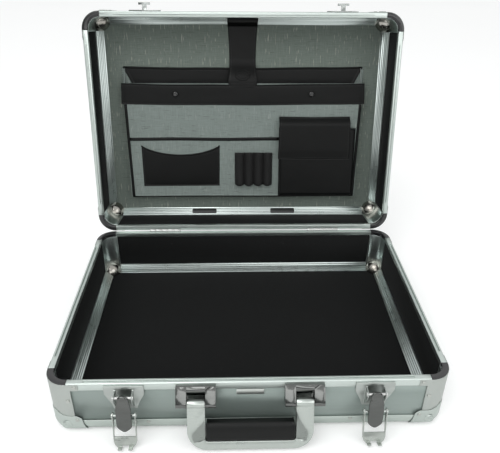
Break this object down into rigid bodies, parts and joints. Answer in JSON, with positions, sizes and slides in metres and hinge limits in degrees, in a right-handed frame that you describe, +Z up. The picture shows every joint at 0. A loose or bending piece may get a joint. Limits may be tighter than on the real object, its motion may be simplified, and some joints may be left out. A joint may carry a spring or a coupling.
{
  "type": "attache case",
  "caption": "Hard attache case with aluminium edges: hinged lid with a fabric organizer, two draw latches, a folding carrying handle and a lined tray.",
  "frame": {"origin": "middle of the base's footprint, on the plane that its corner caps stand on; the flat underside of the bottom panel lies 2.2 mm above it", "axes": "+Z up, +X to the right seen from the front (latch side), +Y to the rear (hinge side)"},
  "size_m": [0.458, 0.4814, 0.4048],
  "materials": {
    "panel": "satin laminate",
    "rim_aluminium": "anodised satin",
    "corner_joint": "gloss",
    "strip_aluminium": "anodised satin",
    "post_aluminium": "anodised satin",
    "cap_metal": "satin",
    "rivet_metal": "bright",
    "trim_aluminium": "fluted, bright",
    "dome_nickel": "warm nickel",
    "lining": "black ribbed lining on card",
    "foot_plastic": "moulded",
    "linen_board": "slubbed linen on card",
    "hinge_steel": "plated",
    "bright_chrome": "polished",
    "dark_chrome": "polished dark",
    "grip_rubber": "matte",
    "linen": "slubbed linen",
    "leatherette": "black leatherette",
    "elastic": "black elastic"
  },
  "bodies": {
    "base": {"base_bottom_panel": "panel", "base_corner_caps": "cap_metal", "base_corner_posts": "post_aluminium", "base_corner_trims": "trim_aluminium", "base_edge_strips": "strip_aluminium", "base_floor_lining": "lining", "base_floor_trims": "trim_aluminium", "base_inner_domes": "dome_nickel", "base_long_panels": "panel", "base_rim_corners": "corner_joint", "base_rim_front": "rim_aluminium", "base_rim_rear": "rim_aluminium", "base_rim_sides": "rim_aluminium", "base_rivets": "rivet_metal", "base_short_panels": "panel", "base_spine_feet": "foot_plastic", "base_wall_lining": "lining", "handle_brackets": "bright_chrome", "hinge_base_leaves": "hinge_steel", "latch_plates": "bright_chrome", "nameplate": "rivet_metal", "pivot_pins": "hinge_steel"},
    "lid": {"card_pocket": "leatherette", "file_pocket_back": "leatherette", "file_pocket_front": "linen", "file_pocket_gussets": "linen", "hinge_lid_leaves": "hinge_steel", "lid_catches": "bright_chrome", "lid_corner_caps": "cap_metal", "lid_corner_posts": "post_aluminium", "lid_corner_trims": "trim_aluminium", "lid_edge_strips": "strip_aluminium", "lid_fabric_board": "linen_board", "lid_floor_trims": "trim_aluminium", "lid_inner_domes": "dome_nickel", "lid_long_panels": "panel", "lid_rim_corners": "corner_joint", "lid_rim_front": "rim_aluminium", "lid_rim_rear": "rim_aluminium", "lid_rim_sides": "rim_aluminium", "lid_rivet_covers": "foot_plastic", "lid_rivets": "rivet_metal", "lid_short_panels": "panel", "lid_spine_feet": "foot_plastic", "lid_top_panel": "panel", "lid_wall_lining": "lining", "pen_loops": "elastic", "phone_pocket": "leatherette", "pocket_binding": "leatherette", "pocket_snaps": "dark_chrome"},
    "left_lever": {"left_latch_lever": "dark_chrome", "left_hasp_pin": "bright_chrome"},
    "right_lever": {"right_latch_lever": "dark_chrome", "right_hasp_pin": "bright_chrome"},
    "left_hasp": {"left_latch_hasp": "bright_chrome"},
    "right_hasp": {"right_latch_hasp": "bright_chrome"},
    "handle": {"handle_frame": "bright_chrome", "handle_grip": "grip_rubber"},
    "pocket_flap": {"phone_pocket_flap": "leatherette"},
    "strap": {"organizer_strap": "leatherette"}
  },
  "joints": [
    {"name": "lid_hinge", "type": "hinge", "parent": "base", "child": "lid", "pos_m": [0, 0.1625, 0.07515], "axis": [-1, 0, 0], "range_deg": [-100.5, 0]},
    {"name": "left_lever_hinge", "type": "hinge", "parent": "base", "child": "left_lever", "pos_m": [-0.139, -0.1715, 0.063], "axis": [-1, 0, 0], "range_deg": [-12, 100]},
    {"name": "left_hasp_hinge", "type": "hinge", "parent": "left_lever", "child": "left_hasp", "pos_m": [-0.139, -0.17607, 0.04148], "axis": [1, 0, 0], "range_deg": [-172, 0]},
    {"name": "right_lever_hinge", "type": "hinge", "parent": "base", "child": "right_lever", "pos_m": [0.139, -0.1715, 0.063], "axis": [-1, 0, 0], "range_deg": [-12, 100]},
    {"name": "right_hasp_hinge", "type": "hinge", "parent": "right_lever", "child": "right_hasp", "pos_m": [0.139, -0.17607, 0.04148], "axis": [1, 0, 0], "range_deg": [-172, 0]},
    {"name": "handle_hinge", "type": "hinge", "parent": "base", "child": "handle", "pos_m": [0, -0.1725, 0.054], "axis": [-1, 0, 0], "range_deg": [-20, 91]},
    {"name": "flap_hinge", "type": "hinge", "parent": "lid", "child": "pocket_flap", "pos_m": [0.1115, 0.24022, 0.23466], "axis": [-1, 0, 0], "range_deg": [0, 110]},
    {"name": "strap_hinge", "type": "hinge", "parent": "lid", "child": "strap", "pos_m": [-0.0015, 0.27785, 0.36417], "axis": [-1, 0, 0], "range_deg": [0, 75]}
  ]
}
